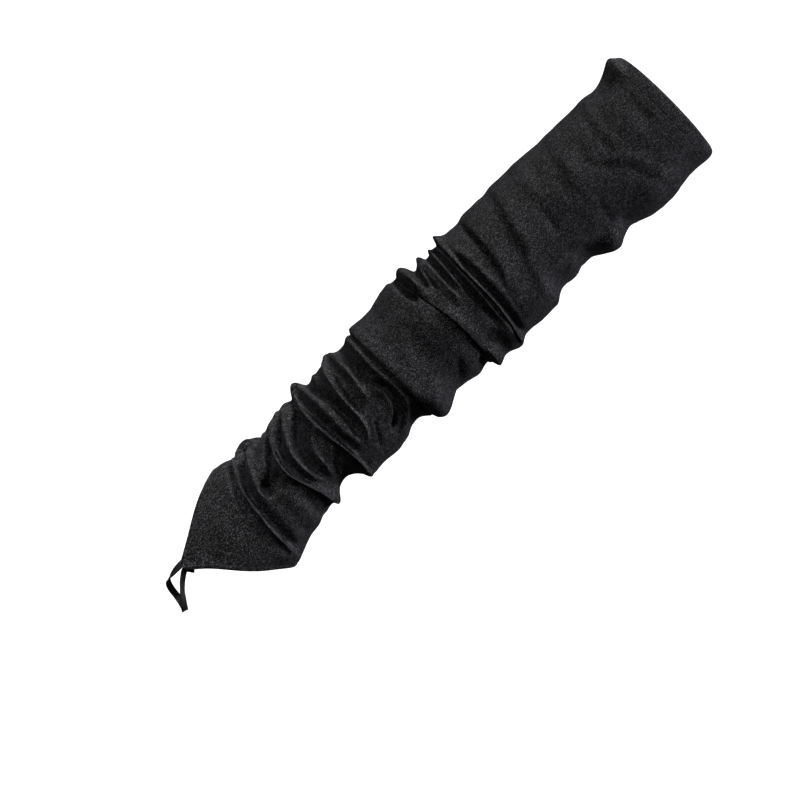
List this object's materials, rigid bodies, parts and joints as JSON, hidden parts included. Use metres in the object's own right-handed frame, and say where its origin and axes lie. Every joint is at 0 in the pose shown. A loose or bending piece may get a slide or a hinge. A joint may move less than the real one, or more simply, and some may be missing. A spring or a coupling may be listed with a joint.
{
  "type": "evening mitten",
  "caption": "Long fingerless evening mitten of ruched black stretch satin, with a pointed hand edge and a ribbon loop for the middle finger.",
  "frame": {"origin": "centre of the arm opening, in the plane of its rim", "axes": "+Z along the sleeve from the hand to the arm, -Y out of the back of the hand, +X towards the little finger's side (the thumb is at -X: it is a left mitten)"},
  "size_m": [0.0905, 0.0855, 0.4412],
  "materials": {
    "sleeve_satin": "black stretch satin, soft sheen with a fine grain",
    "arm_hem_satin": "black stretch satin, turned and stitched",
    "hand_hem_satin": "black satin, narrow rolled hem with small stitches",
    "loop_ribbon": "black ribbon, plain weave"
  },
  "bodies": {
    "root": {"sleeve": "sleeve_satin", "arm_hem": "arm_hem_satin", "hand_hem": "hand_hem_satin", "finger_loop": "loop_ribbon"}
  },
  "joints": []
}
